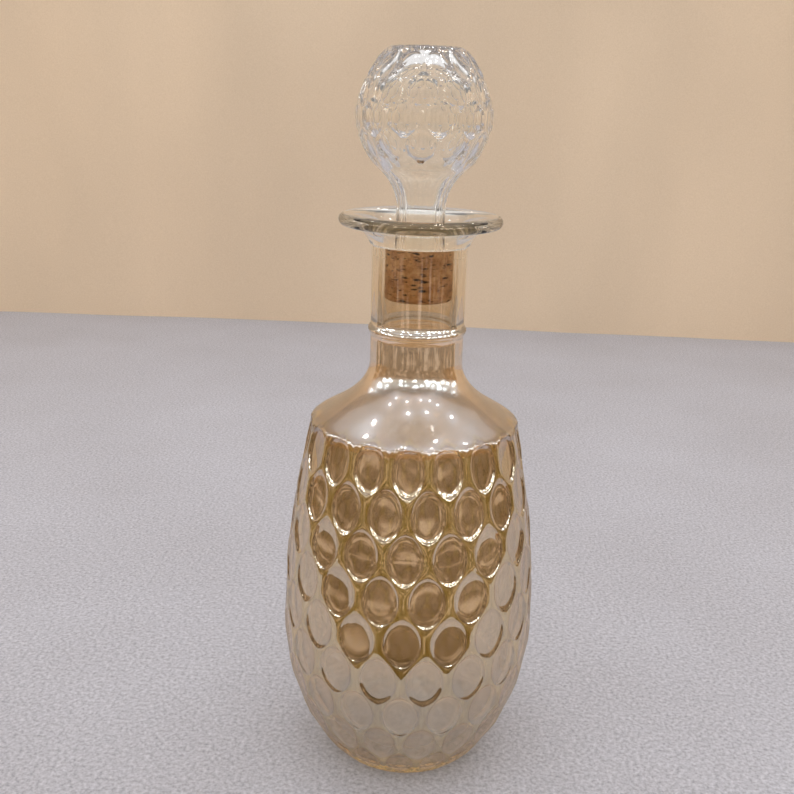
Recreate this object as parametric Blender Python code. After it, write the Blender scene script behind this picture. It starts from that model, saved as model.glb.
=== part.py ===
"""Glass decanter with a thumbprint pattern, a hollow glass stopper and the cork on its shank.

Metres, +Z up. The origin is the centre of the foot, on the surface that the decanter stands on.
"""

import bmesh
import bpy
import math

# ---- Decanter body, outside ------------------------------------------------------------------
FOOT_RADIUS = 0.0288  # outer edge of the flat ring that it stands on
FOOT_WIDTH = 0.0040  # width of that ring
FOOT_HOLLOW = 0.0012  # how far the base rises inside the ring
HEEL_SLOPE = math.radians(42)  # angle at which the side leaves the foot
HEEL_PULL = 0.0140  # how long the side keeps that slope
BELLY_RADIUS = 0.0488
BELLY_HEIGHT = 0.0556
BELLY_PULL = 0.0260  # how straight the side runs near the belly
SHOULDER_RADIUS = 0.0387
SHOULDER_HEIGHT = 0.1349
SHOULDER_LEAN = math.radians(13)  # angle of the side to the vertical at the shoulder
SHOULDER_PULL = 0.0300
SHOULDER_RISE = 0.0231  # from the shoulder's edge to where the neck is straight
SHOULDER_ROUND = 0.0036
NECK_RADIUS = 0.0170
NECK_LENGTH = 0.0424  # straight neck, up to the step under the mouth
NECK_FLARE = 0.0140
STEP_WIDTH = 0.0010  # step under the mouth
STEP_RISE = 0.0006
COLLAR_DROP = 0.0309  # from the step down to the raised ring round the neck
COLLAR_PROJECTION = 0.0009
COLLAR_WIDTH = 0.0034
LIP_RADIUS = 0.0290
LIP_THICKNESS = 0.0044
LIP_RISE = 0.0102  # from the step to the top of the lip

# ---- Decanter body, inside -------------------------------------------------------------------
BORE_RADIUS = 0.0126
WALL = 0.0042
BASE_THICKNESS = 0.0065
MOUTH_DEPTH = 0.0106  # depth of the flare inside the mouth

# ---- Thumbprints of the body -----------------------------------------------------------------
PRINTS_AROUND = 18
PRINT_PITCH = 0.0154  # from row to row, measured along the side
PRINT_START = 0.0065  # from the shoulder's edge to the first row
PRINT_HEIGHT = 0.0200
PRINT_SHARE = 0.80  # a print's width, as a share of the room round the body
PRINT_DEPTH = 0.0015

# ---- Stopper ---------------------------------------------------------------------------------
GLOBE_RADIUS = 0.0236
GLOBE_CROWN = 0.0221  # from the globe's centre to its flat top
GLOBE_WALL = 0.0034
SHANK_RADIUS = 0.0089
SHANK_LENGTH = 0.0123  # straight part, from the cork up to the flare into the globe
SHANK_FLARE = 0.0136
SHANK_BORE = 0.0058
GLOBE_LEAVE = math.radians(-49)  # latitude where the flare leaves the globe
GLOBE_PRINTS_AROUND = 12
GLOBE_PRINT_ROWS = 4
GLOBE_PRINT_PITCH = math.radians(22.5)  # latitude from row to row
GLOBE_PRINT_TOP = math.radians(43)  # latitude of the top row
GLOBE_PRINT_HEIGHT = 0.0112
GLOBE_PRINT_SHARE = 0.86
GLOBE_PRINT_DEPTH = 0.0009

# ---- Cork ------------------------------------------------------------------------------------
CORK_LENGTH = 0.0192
CORK_CHAMFER = 0.0013
CORK_DROP = 0.0006  # its top below the step of the mouth
PEG_DEPTH = 0.0120  # how far the stopper's shank stands down inside the cork

# ---- Fits ------------------------------------------------------------------------------------
CLEARANCE = 0.0003  # between pieces that touch

# ---- Fineness of the faceted solids ----------------------------------------------------------
BODY_COLUMNS = 4 * PRINTS_AROUND
STOPPER_COLUMNS = 4 * GLOBE_PRINTS_AROUND
CORK_COLUMNS = 40
MERGE = 0.000001

# ---- Heights that follow from the sizes above ------------------------------------------------
NECK_START = SHOULDER_HEIGHT + SHOULDER_RISE
STEP_HEIGHT = NECK_START + NECK_LENGTH
LIP_TOP = STEP_HEIGHT + LIP_RISE
CORK_TOP = STEP_HEIGHT - CORK_DROP
CORK_BOTTOM = CORK_TOP - CORK_LENGTH
SHANK_END = CORK_TOP - PEG_DEPTH
FLARE_START = CORK_TOP + SHANK_LENGTH
FLARE_END = FLARE_START + SHANK_FLARE
GLOBE_CENTRE = FLARE_END - GLOBE_RADIUS * math.sin(GLOBE_LEAVE)


def clear_scene():
    """Remove whatever the scene holds."""
    for old in list(bpy.data.objects):
        bpy.data.objects.remove(old, do_unlink=True)


def glass(name, colour, roughness):
    """A coloured, see-through Principled material."""
    made = bpy.data.materials.new(name)
    made.use_nodes = True
    shader = made.node_tree.nodes["Principled BSDF"]
    shader.inputs["Base Color"].default_value = (*colour, 1.0)
    shader.inputs["Roughness"].default_value = roughness
    shader.inputs["Metallic"].default_value = 0.0
    shader.inputs["IOR"].default_value = 1.5
    shader.inputs["Transmission Weight"].default_value = 0.9
    return made


def cork_material():
    """Dry natural cork."""
    made = bpy.data.materials.new("natural_cork")
    made.use_nodes = True
    shader = made.node_tree.nodes["Principled BSDF"]
    shader.inputs["Base Color"].default_value = (0.42, 0.22, 0.09, 1.0)
    shader.inputs["Roughness"].default_value = 0.85
    shader.inputs["Metallic"].default_value = 0.0
    return made


def bezier(start, pull_a, pull_b, end, steps):
    """Points of a cubic curve in (radius, height), without its first point."""
    points = []
    for step in range(1, steps + 1):
        t = step / steps
        u = 1.0 - t
        weights = (u * u * u, 3 * u * u * t, 3 * u * t * t, t * t * t)
        knots = (start, pull_a, pull_b, end)
        points.append(tuple(sum(w * k[i] for w, k in zip(weights, knots)) for i in range(2)))
    return points


def arc(centre, radius, first, last, steps):
    """Points of a circular arc in (radius, height), without its first point."""
    points = []
    for step in range(1, steps + 1):
        angle = first + (last - first) * step / steps
        points.append((centre[0] + radius * math.cos(angle), centre[1] + radius * math.sin(angle)))
    return points


def along(points, distances):
    """The points of a polyline at the given distances from its first point."""
    found = []
    for wanted in distances:
        left = wanted
        for a, b in zip(points, points[1:]):
            length = math.dist(a, b)
            if left <= length or b is points[-1]:
                share = left / length
                found.append((a[0] + share * (b[0] - a[0]), a[1] + share * (b[1] - a[1])))
                break
            left -= length
    return found


def polyline_length(points):
    """Length of a polyline."""
    return sum(math.dist(a, b) for a, b in zip(points, points[1:]))


def side_curve(inset, low_radius, low_height, steps):
    """The body's side from its low end to the shoulder's edge, moved inwards by an inset."""
    belly = (BELLY_RADIUS - inset, BELLY_HEIGHT)
    top = (SHOULDER_RADIUS - inset, SHOULDER_HEIGHT - inset)
    low = (low_radius, low_height)
    low_pull = (low_radius + HEEL_PULL * math.cos(HEEL_SLOPE), low_height + HEEL_PULL * math.sin(HEEL_SLOPE))
    belly_low = (belly[0], BELLY_HEIGHT - BELLY_PULL)
    belly_high = (belly[0], BELLY_HEIGHT + BELLY_PULL)
    lean_out = SHOULDER_PULL * math.sin(SHOULDER_LEAN)
    lean_down = SHOULDER_PULL * math.cos(SHOULDER_LEAN)
    top_pull = (top[0] + lean_out, top[1] - lean_down)
    points = [low]
    points += bezier(low, low_pull, belly_low, belly, steps)
    points += bezier(belly, belly_high, top_pull, top, steps)
    return points


def side_outline():
    """The outer side, from the foot to the shoulder, with a point at each row and half row of prints."""
    fine = side_curve(0.0, FOOT_RADIUS, 0.0, 60)
    fine.reverse()
    length = polyline_length(fine)
    half = PRINT_PITCH / 2
    half_rows = int((length - PRINT_START) / half - 0.5)
    distances = [0.0, PRINT_START / 2]
    distances += [PRINT_START + half * step for step in range(half_rows + 1)]
    rows = along(fine, distances + [length])
    rows.reverse()
    return rows


def print_rows():
    """(radius, height) of the centre of each row of prints that the side has room for."""
    fine = side_curve(0.0, FOOT_RADIUS, 0.0, 60)
    fine.reverse()
    length = polyline_length(fine)
    full_rows = int((length - PRINT_START) / PRINT_PITCH)
    return along(fine, [PRINT_START + PRINT_PITCH * row for row in range(full_rows + 1)])


def body_outline():
    """The decanter's closed outline in (radius, height), from the base's centre round to its floor."""
    foot_inner = FOOT_RADIUS - FOOT_WIDTH
    points = [(0.0, FOOT_HOLLOW), (foot_inner - FOOT_HOLLOW, FOOT_HOLLOW), (foot_inner, 0.0)]
    points += side_outline()
    edge = points[-1]
    neck = (NECK_RADIUS, NECK_START)
    edge_pull = (edge[0] - SHOULDER_ROUND * math.sin(SHOULDER_LEAN), edge[1] + SHOULDER_ROUND)
    points += bezier(edge, edge_pull, (NECK_RADIUS, NECK_START - NECK_FLARE), neck, 7)
    collar = STEP_HEIGHT - COLLAR_DROP
    ring = NECK_RADIUS + COLLAR_PROJECTION
    points += [
        (NECK_RADIUS, collar - COLLAR_WIDTH / 2),
        (ring, collar - COLLAR_WIDTH / 5),
        (ring, collar + COLLAR_WIDTH / 5),
        (NECK_RADIUS, collar + COLLAR_WIDTH / 2),
        (NECK_RADIUS, STEP_HEIGHT - STEP_RISE),
        (NECK_RADIUS + STEP_WIDTH, STEP_HEIGHT),
    ]
    bead = LIP_THICKNESS / 2
    bead_centre = (LIP_RADIUS - bead, LIP_TOP - bead)
    under = (bead_centre[0], bead_centre[1] - bead)
    flare_pull = (NECK_RADIUS + 2.5 * STEP_WIDTH, under[1] - bead)
    points += bezier(points[-1], flare_pull, (under[0] - LIP_THICKNESS, under[1]), under, 4)
    points += arc(bead_centre, bead, math.radians(-90), math.radians(90), 6)
    funnel_end = (BORE_RADIUS, LIP_TOP - MOUTH_DEPTH)
    funnel_top = (BORE_RADIUS + (LIP_RADIUS - BORE_RADIUS) / 2, LIP_TOP)
    points += bezier(points[-1], funnel_top, (BORE_RADIUS, LIP_TOP - MOUTH_DEPTH / 3), funnel_end, 5)
    points.append((BORE_RADIUS, NECK_START))
    inside = side_curve(WALL, FOOT_RADIUS - WALL / 2, BASE_THICKNESS, 4)
    inside.reverse()
    inner_edge = inside[0]
    bore_low = (BORE_RADIUS, NECK_START - NECK_FLARE)
    points += bezier(points[-1], bore_low, (inner_edge[0], inner_edge[1] + SHOULDER_ROUND), inner_edge, 4)
    points += inside[1:]
    points.append((0.0, BASE_THICKNESS))
    return points


def bowl(u):
    """Depth of a print as a share of its full depth, at a distance of u half-widths from its centre."""
    return max(0.0, 1.0 - u * u)


def body_print_depth(radius, height, angle, rows):
    """How far the outside is pressed in at a point of the body's side."""
    deepest = 0.0
    for index, (row_radius, row_height) in enumerate(rows):
        rise = (height - row_height) / (PRINT_HEIGHT / 2)
        if abs(rise) >= 1.0:
            continue
        sector = 2 * math.pi / PRINTS_AROUND
        turned = (angle + math.pi / 2) / sector + 0.5 * (index % 2)
        off = (turned - round(turned)) * 2 / PRINT_SHARE
        deepest = max(deepest, bowl(math.hypot(off, rise)))
    return PRINT_DEPTH * deepest


def globe_print_depth(latitude, angle):
    """How far the stopper's globe is pressed in at a latitude and an angle."""
    deepest = 0.0
    for index in range(GLOBE_PRINT_ROWS):
        row = GLOBE_PRINT_TOP - index * GLOBE_PRINT_PITCH
        rise = (latitude - row) * GLOBE_RADIUS / (GLOBE_PRINT_HEIGHT / 2)
        if abs(rise) >= 1.0:
            continue
        sector = 2 * math.pi / GLOBE_PRINTS_AROUND
        turned = (angle + math.pi / 2) / sector + 0.5 * ((index + 1) % 2)
        off = (turned - round(turned)) * 2 / GLOBE_PRINT_SHARE
        deepest = max(deepest, bowl(math.hypot(off, rise)))
    return GLOBE_PRINT_DEPTH * deepest


def turned_mesh(outline, columns):
    """Spin an outline in (radius, height) about the Z axis into one closed bmesh."""
    mesh = bmesh.new()
    chain = [mesh.verts.new((radius, 0.0, height)) for radius, height in outline]
    edges = [mesh.edges.new(pair) for pair in zip(chain, chain[1:])]
    bmesh.ops.spin(
        mesh,
        geom=chain + edges,
        cent=(0.0, 0.0, 0.0),
        axis=(0.0, 0.0, 1.0),
        angle=2 * math.pi,
        steps=columns,
        use_duplicate=False,
    )
    bmesh.ops.remove_doubles(mesh, verts=mesh.verts, dist=MERGE)
    return mesh


def split_along_ridges(mesh):
    """Cut each four-sided face along the diagonal that stands further out, where a ridge runs."""
    for face in [face for face in mesh.faces if len(face.verts) == 4]:
        corners = list(face.verts)
        reach = [corner.co.xy.length for corner in corners]
        first = 0 if reach[0] + reach[2] >= reach[1] + reach[3] else 1
        bmesh.utils.face_split(face, corners[first], corners[first + 2])


def finish(mesh, name, made_of, sharp_angle):
    """Turn a bmesh into a named object with outward faces, smooth shading and a material."""
    bmesh.ops.recalc_face_normals(mesh, faces=mesh.faces)
    data = bpy.data.meshes.new(name)
    mesh.to_mesh(data)
    mesh.free()
    data.materials.append(made_of)
    data.shade_smooth()
    data.set_sharp_from_angle(angle=sharp_angle)
    placed = bpy.data.objects.new(name, data)
    bpy.context.scene.collection.objects.link(placed)
    return placed


def decanter_body():
    """The hollow glass vessel with its prints, collar and flared lip."""
    mesh = turned_mesh(body_outline(), BODY_COLUMNS)
    rows = print_rows()
    side = {(round(radius, 6), round(height, 6)) for radius, height in side_outline()[1:-1]}
    for vertex in mesh.verts:
        radius = math.hypot(vertex.co.x, vertex.co.y)
        if (round(radius, 6), round(vertex.co.z, 6)) not in side:
            continue
        angle = math.atan2(vertex.co.y, vertex.co.x)
        shrink = 1.0 - body_print_depth(radius, vertex.co.z, angle, rows) / radius
        vertex.co.x *= shrink
        vertex.co.y *= shrink
    split_along_ridges(mesh)
    return finish(mesh, "decanter_body", glass("amber_glass", (0.80, 0.62, 0.38), 0.06), math.radians(25))


def stopper_outline():
    """The stopper's outline from the top of its crown down the outside and up inside its hollow."""
    centre = (0.0, GLOBE_CENTRE)
    crown = math.asin(GLOBE_CROWN / GLOBE_RADIUS)
    first = (GLOBE_RADIUS * math.cos(crown), GLOBE_CENTRE + GLOBE_CROWN)
    points = [(0.0, GLOBE_CENTRE + GLOBE_CROWN), first]
    half = GLOBE_PRINT_PITCH / 2
    rows = [GLOBE_PRINT_TOP - half * step for step in range(-1, 2 * GLOBE_PRINT_ROWS)]
    for latitude in rows + [GLOBE_LEAVE]:
        points.append((GLOBE_RADIUS * math.cos(latitude), centre[1] + GLOBE_RADIUS * math.sin(latitude)))
    leave = points[-1]
    pull = SHANK_FLARE / 3
    leave_pull = (leave[0] + pull * math.sin(GLOBE_LEAVE), leave[1] - pull * math.cos(GLOBE_LEAVE))
    straight = (SHANK_RADIUS, FLARE_START)
    points += bezier(leave, leave_pull, (SHANK_RADIUS, FLARE_START + SHANK_FLARE / 2), straight, 5)
    points += [(SHANK_RADIUS, SHANK_END), (SHANK_BORE, SHANK_END), (SHANK_BORE, FLARE_START)]
    hollow = GLOBE_RADIUS - GLOBE_WALL
    low = (hollow * math.cos(GLOBE_LEAVE), centre[1] + hollow * math.sin(GLOBE_LEAVE))
    low_pull = (low[0] + pull * math.sin(GLOBE_LEAVE), low[1] - pull * math.cos(GLOBE_LEAVE))
    points += bezier(points[-1], (SHANK_BORE, FLARE_START + SHANK_FLARE / 2), low_pull, low, 3)
    inner_top = math.asin((GLOBE_CROWN - GLOBE_WALL) / hollow)
    points += arc(centre, hollow, GLOBE_LEAVE, inner_top, 7)
    points.append((0.0, GLOBE_CENTRE + GLOBE_CROWN - GLOBE_WALL))
    return points


def stopper():
    """The hollow glass stopper: a faceted globe on an open shank."""
    mesh = turned_mesh(stopper_outline(), STOPPER_COLUMNS)
    for vertex in mesh.verts:
        radius = math.hypot(vertex.co.x, vertex.co.y)
        height = vertex.co.z - GLOBE_CENTRE
        if abs(math.hypot(radius, height) - GLOBE_RADIUS) > MERGE or height >= GLOBE_CROWN - MERGE:
            continue
        latitude = math.atan2(height, radius)
        depth = globe_print_depth(latitude, math.atan2(vertex.co.y, vertex.co.x))
        share = 1.0 - depth / GLOBE_RADIUS
        vertex.co.x *= share
        vertex.co.y *= share
        vertex.co.z = GLOBE_CENTRE + height * share
    split_along_ridges(mesh)
    return finish(mesh, "stopper", glass("clear_glass", (0.93, 0.95, 0.95), 0.03), math.radians(25))


def cork():
    """The cork: a plug for the neck with a blind hole that the stopper's shank stands in."""
    plug = BORE_RADIUS - CLEARANCE
    hole = SHANK_RADIUS + CLEARANCE
    hole_floor = SHANK_END - CLEARANCE
    outline = [
        (0.0, CORK_BOTTOM),
        (plug - CORK_CHAMFER, CORK_BOTTOM),
        (plug, CORK_BOTTOM + CORK_CHAMFER),
        (plug, CORK_TOP),
        (hole, CORK_TOP),
        (hole, hole_floor),
        (0.0, hole_floor),
    ]
    mesh = turned_mesh(outline, CORK_COLUMNS)
    return finish(mesh, "cork", cork_material(), math.radians(35))


def main():
    """Build the three pieces where they stand together."""
    clear_scene()
    decanter_body()
    stopper()
    cork()


main()
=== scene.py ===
"""Looks of the amber thumbprint decanter: fine glass surfaces, cork, stage, light and camera.

Metres, +Z up, in the CAD model's frame: the origin is the centre of the foot.
"""
import math
import random

import bmesh
import bpy
from mathutils import Matrix, Vector, noise


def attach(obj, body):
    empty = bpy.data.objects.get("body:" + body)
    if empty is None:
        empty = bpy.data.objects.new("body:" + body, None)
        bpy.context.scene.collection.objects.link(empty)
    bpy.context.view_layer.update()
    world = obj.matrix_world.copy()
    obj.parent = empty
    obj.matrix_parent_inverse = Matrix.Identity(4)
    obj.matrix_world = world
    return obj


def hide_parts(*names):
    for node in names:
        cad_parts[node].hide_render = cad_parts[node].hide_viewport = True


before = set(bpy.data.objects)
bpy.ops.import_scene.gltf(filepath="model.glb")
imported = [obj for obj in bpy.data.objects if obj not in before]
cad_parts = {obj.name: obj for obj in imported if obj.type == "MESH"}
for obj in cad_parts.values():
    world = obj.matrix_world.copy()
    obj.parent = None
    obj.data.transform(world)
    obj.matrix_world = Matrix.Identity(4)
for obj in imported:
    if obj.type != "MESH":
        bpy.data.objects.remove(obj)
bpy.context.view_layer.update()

# ---- Sizes, as in the CAD model ---------------------------------------------------------------
SKIN = 0.00008  # how far the fine surfaces stay inside the CAD solids' outline
FOOT_RADIUS = 0.0288
FOOT_WIDTH = 0.0040
FOOT_HOLLOW = 0.0012
FOOT_ROUND = 0.0007
HEEL_SLOPE = math.radians(42)
HEEL_PULL = 0.0140
BELLY_RADIUS = 0.0488
BELLY_HEIGHT = 0.0556
BELLY_PULL = 0.0260
SHOULDER_RADIUS = 0.0387
SHOULDER_HEIGHT = 0.1349
SHOULDER_LEAN = math.radians(13)
SHOULDER_PULL = 0.0300
SHOULDER_ROUND = 0.0036
NECK_RADIUS = 0.0170
NECK_START = 0.1580
NECK_FLARE = 0.0140
STEP_HEIGHT = 0.2004
STEP_WIDTH = 0.0010
STEP_RISE = 0.0006
COLLAR_HEIGHT = 0.1695
COLLAR_PROJECTION = 0.0009
COLLAR_WIDTH = 0.0034
LIP_RADIUS = 0.0290
LIP_THICKNESS = 0.0044
LIP_TOP = 0.2106
BORE_RADIUS = 0.0126
WALL = 0.0042
BASE_THICKNESS = 0.0065
MOUTH_DEPTH = 0.0106
AROUND = 18
ROWS = 9
ROW_PITCH = 0.0154
ROW_START = 0.0065
BOWL_DEPTH = 0.0005  # the evenly curved part of a print's depth
RIM_DEPTH = 0.00052  # the rest of it, gained close to the rim
RIM_POWER = 12
PRINT_SPAN = 0.0065  # mean half size of a print
RIDGE_RISE = 0.0005  # how far the ridges between the prints stand above the prints' rims
RIDGE_CURVE = 0.0034
CREASE_ROUND = 0.00016  # rounding where the top row of prints runs out at the shoulder
CREASE_RISE = 0.00016
CREASE_WIDTH = 0.00028
PRINT_HALF_WIDTH = 0.392  # in pitches round the body
PRINT_HALF_HEIGHT = 0.605  # in row pitches
SLANT_STEPS = 7  # mesh steps along a slanted side of a print's six-sided cell
UPRIGHT_STEPS = 3  # and along an upright side
# Where the rings of a cell's mesh lie: 1 is the print's rim and 2 the cell's edge. The top row has
# more of them, because the shoulder's crease runs across its prints.
RINGS = (0.35, 0.6, 0.78, 0.87, 0.93, 0.97, 1.0, 1.2, 1.5, 2.0)
SHOULDER_RINGS = (
    0.3, 0.5, 0.6, 0.66, 0.7, 0.74, 0.78, 0.81, 0.84, 0.87, 0.9, 0.93, 0.965, 1.0, 1.2, 1.4, 1.7, 2.0,
)
CREASE_SHARES = (0.0, 0.1, 0.17, 0.21, 0.24, 0.26, 0.28, 0.3, 0.32, 0.34, 0.37, 0.42, 0.5, 0.7, 1.0)
RIM_PAINTED_SHADE_IN = 0.08  # how far the painted shade along the rim reaches into a print, in ring shares
RIM_PAINTED_SHADE_OUT = 0.4  # and out onto the ridge
NECK_LEVELS = (0.1605, 0.1635, 0.1662)  # rings of the mesh below the collar
UPPER_NECK_LEVELS = (0.1730, 0.1775, 0.1820, 0.1870, 0.1920, 0.1960, 0.1985)  # and above it
BORE_LEVELS = (0.196, 0.190, 0.180, 0.170, NECK_START)
FLOOR_SAG = 0.0007  # how far the hollow's floor rises in its middle

GLOBE_RADIUS = 0.0236
GLOBE_CENTRE = 0.24351
GLOBE_CROWN = 0.0221
GLOBE_WALL = 0.0034
GLOBE_LEAVE = math.radians(-49)
GLOBE_AROUND = 12
GLOBE_ROWS = 4
GLOBE_PITCH = math.radians(22.5)
GLOBE_TOP_ROW = math.radians(43)
GLOBE_BOWL = 0.0008  # the evenly curved part of the depth of a print on the globe
GLOBE_RIM = 0.0005  # the rest of it, gained close to the rim
GLOBE_RIM_POWER = 8
GLOBE_PRINT_HALF_WIDTH = 0.46  # in pitches round the globe
GLOBE_PRINT_HALF_HEIGHT = 0.66  # in row pitches
GLOBE_SLANT_STEPS = 6
GLOBE_UPRIGHT_STEPS = 3
GLOBE_RINGS = (0.3, 0.56, 0.76, 0.9, 1.0, 1.3, 1.55, 1.75, 1.9, 2.0)
CREST_SOFT = 0.025  # share of the way to the crest between two prints that its rounding takes
CROWN_SPREAD = 0.07  # how far the globe swells out round its flat crown, as a share of its radius
CROWN_AT = math.radians(58)  # the latitude where it swells most
CROWN_BAND = math.radians(14)
SHANK_RADIUS = 0.0089
SHANK_BORE = 0.0058
SHANK_END = 0.1878
FLARE_START = 0.2121
FLARE_END = 0.2257
FLUTE_DEPTH = 0.0005
FLUTE_LOW = 0.2005  # the height where the flutes run out
FLUTE_FADE = 0.008
SHANK_BREAK = 0.0006  # height of the rounding at the shank's open end

CORK_RADIUS = 0.0123
CORK_HOLE = 0.0092
CORK_TOP = 0.1998
CORK_BOTTOM = 0.1806
HOLE_FLOOR = 0.1875
CORK_CHAMFER = 0.0013
CORK_SIDE = 0.0106  # beyond this radius the cork's surface is rough and pitted
CORK_GRAIN = 0.00014
CORK_PITS = 150
CORK_COLUMNS = 220
CORK_RINGS = 90
PIT_DARK = 0.00045  # a pit this deep is fully dark: its own dark colour and painted shade

WELD = 0.000002
NORMAL_REACH = 0.0006  # half the length over which a curve's normal is measured


# ---- Curves in (radius, height) ---------------------------------------------------------------
def bezier(start, pull_a, pull_b, end, steps):
    """Points of a cubic curve, without its first point."""
    points = []
    for step in range(1, steps + 1):
        t = step / steps
        u = 1.0 - t
        weights = (u * u * u, 3 * u * u * t, 3 * u * t * t, t * t * t)
        knots = (start, pull_a, pull_b, end)
        points.append(tuple(sum(w * k[i] for w, k in zip(weights, knots)) for i in range(2)))
    return points


def arc(centre, radius, first, last, steps):
    """Points of an arc between two angles in degrees, without its first point."""
    points = []
    for step in range(1, steps + 1):
        angle = math.radians(first + (last - first) * step / steps)
        points.append((centre[0] + radius * math.cos(angle), centre[1] + radius * math.sin(angle)))
    return points


def side_curve(inset, low, steps):
    """The body's side from a low point up to the shoulder's edge, moved inwards by an inset."""
    belly = (BELLY_RADIUS - inset, BELLY_HEIGHT)
    top = (SHOULDER_RADIUS - inset, SHOULDER_HEIGHT - inset)
    low_pull = (low[0] + HEEL_PULL * math.cos(HEEL_SLOPE), low[1] + HEEL_PULL * math.sin(HEEL_SLOPE))
    lean_out = SHOULDER_PULL * math.sin(SHOULDER_LEAN)
    lean_down = SHOULDER_PULL * math.cos(SHOULDER_LEAN)
    points = [low]
    points += bezier(low, low_pull, (belly[0], belly[1] - BELLY_PULL), belly, steps)
    top_pull = (top[0] + lean_out, top[1] - lean_down)
    points += bezier(belly, (belly[0], belly[1] + BELLY_PULL), top_pull, top, steps)
    return points


class Curve:
    """A polyline in (radius, height) that can be read at any length along it."""

    def __init__(self, points):
        self.points = points
        self.lengths = [0.0]
        for a, b in zip(points, points[1:]):
            self.lengths.append(self.lengths[-1] + math.dist(a, b))
        self.length = self.lengths[-1]

    def at(self, distance):
        """The point at a distance from the start."""
        distance = min(max(distance, 0.0), self.length)
        low, high = 0, len(self.lengths) - 1
        while high - low > 1:
            middle = (low + high) // 2
            if self.lengths[middle] <= distance:
                low = middle
            else:
                high = middle
        share = (distance - self.lengths[low]) / (self.lengths[high] - self.lengths[low])
        a, b = self.points[low], self.points[high]
        return a[0] + share * (b[0] - a[0]), a[1] + share * (b[1] - a[1])

    def outward(self, distance):
        """The unit normal on the left of the direction of travel."""
        a = self.at(distance - NORMAL_REACH)
        b = self.at(distance + NORMAL_REACH)
        length = math.dist(a, b)
        return (b[1] - a[1]) / -length, (b[0] - a[0]) / length


# ---- Surfaces ---------------------------------------------------------------------------------
class Skin:
    """Vertices and faces of one surface, gathered patch by patch and welded at the end."""

    def __init__(self):
        self.points = []
        self.faces = []
        self.marks = {}

    def grid(self, rows, closed):
        """Join rows of points, all of the same length, into a patch."""
        base = len(self.points)
        count = len(rows[0])
        for row in rows:
            self.points += row
        for r in range(len(rows) - 1):
            for c in range(count if closed else count - 1):
                a = base + r * count + c
                b = base + r * count + (c + 1) % count
                self.faces.append((a, b, b + count, a + count))

    def mark(self, name, value, start, end=None):
        """Give the points from start on a value under a name, which becomes a mesh attribute."""
        self.marks.setdefault(name, []).append((value, start, end or len(self.points)))

    def fan(self, centre, ring):
        """Close a ring of points onto one centre point."""
        base = len(self.points)
        self.points.append(centre)
        self.points += ring
        count = len(ring)
        for c in range(count):
            self.faces.append((base, base + 1 + c, base + 1 + (c + 1) % count))

    def halve(self, fine, coarse):
        """Join a closed ring to one with half as many points."""
        base = len(self.points)
        self.points += fine + coarse
        count = len(coarse)
        start = base + len(fine)
        for c in range(count):
            a, b = base + 2 * c, base + 2 * c + 1
            d = base + (2 * c + 2) % len(fine)
            here, after = start + c, start + (c + 1) % count
            self.faces += [(a, b, here), (b, d, after), (b, after, here)]

    def build(self, name):
        """Weld the patches into one named, smooth object with outward faces."""
        data = bpy.data.meshes.new(name)
        data.from_pydata(self.points, [], self.faces)
        for label, spans in self.marks.items():
            layer = data.attributes.new(label, "FLOAT", "POINT")
            for value, start, end in spans:
                for index in range(start, end):
                    layer.data[index].value = value
        mesh = bmesh.new()
        mesh.from_mesh(data)
        bmesh.ops.remove_doubles(mesh, verts=mesh.verts, dist=WELD)
        bmesh.ops.recalc_face_normals(mesh, faces=mesh.faces)
        mesh.to_mesh(data)
        mesh.free()
        data.shade_smooth()
        made = bpy.data.objects.new(name, data)
        bpy.context.scene.collection.objects.link(made)
        return made


def turned(radius, height, turn):
    """The point at a radius and height, turned from the front by an angle in radians."""
    angle = turn - math.pi / 2
    return radius * math.cos(angle), radius * math.sin(angle), height


def ring(point, columns, bump=None):
    """A ring of points round the axis; bump gives each its own shift in radius."""
    points = []
    for column in range(columns):
        turn = 2 * math.pi * column / columns
        shift = bump(turn) if bump else 0.0
        points.append(turned(point[0] + shift, point[1], turn))
    return points


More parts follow.
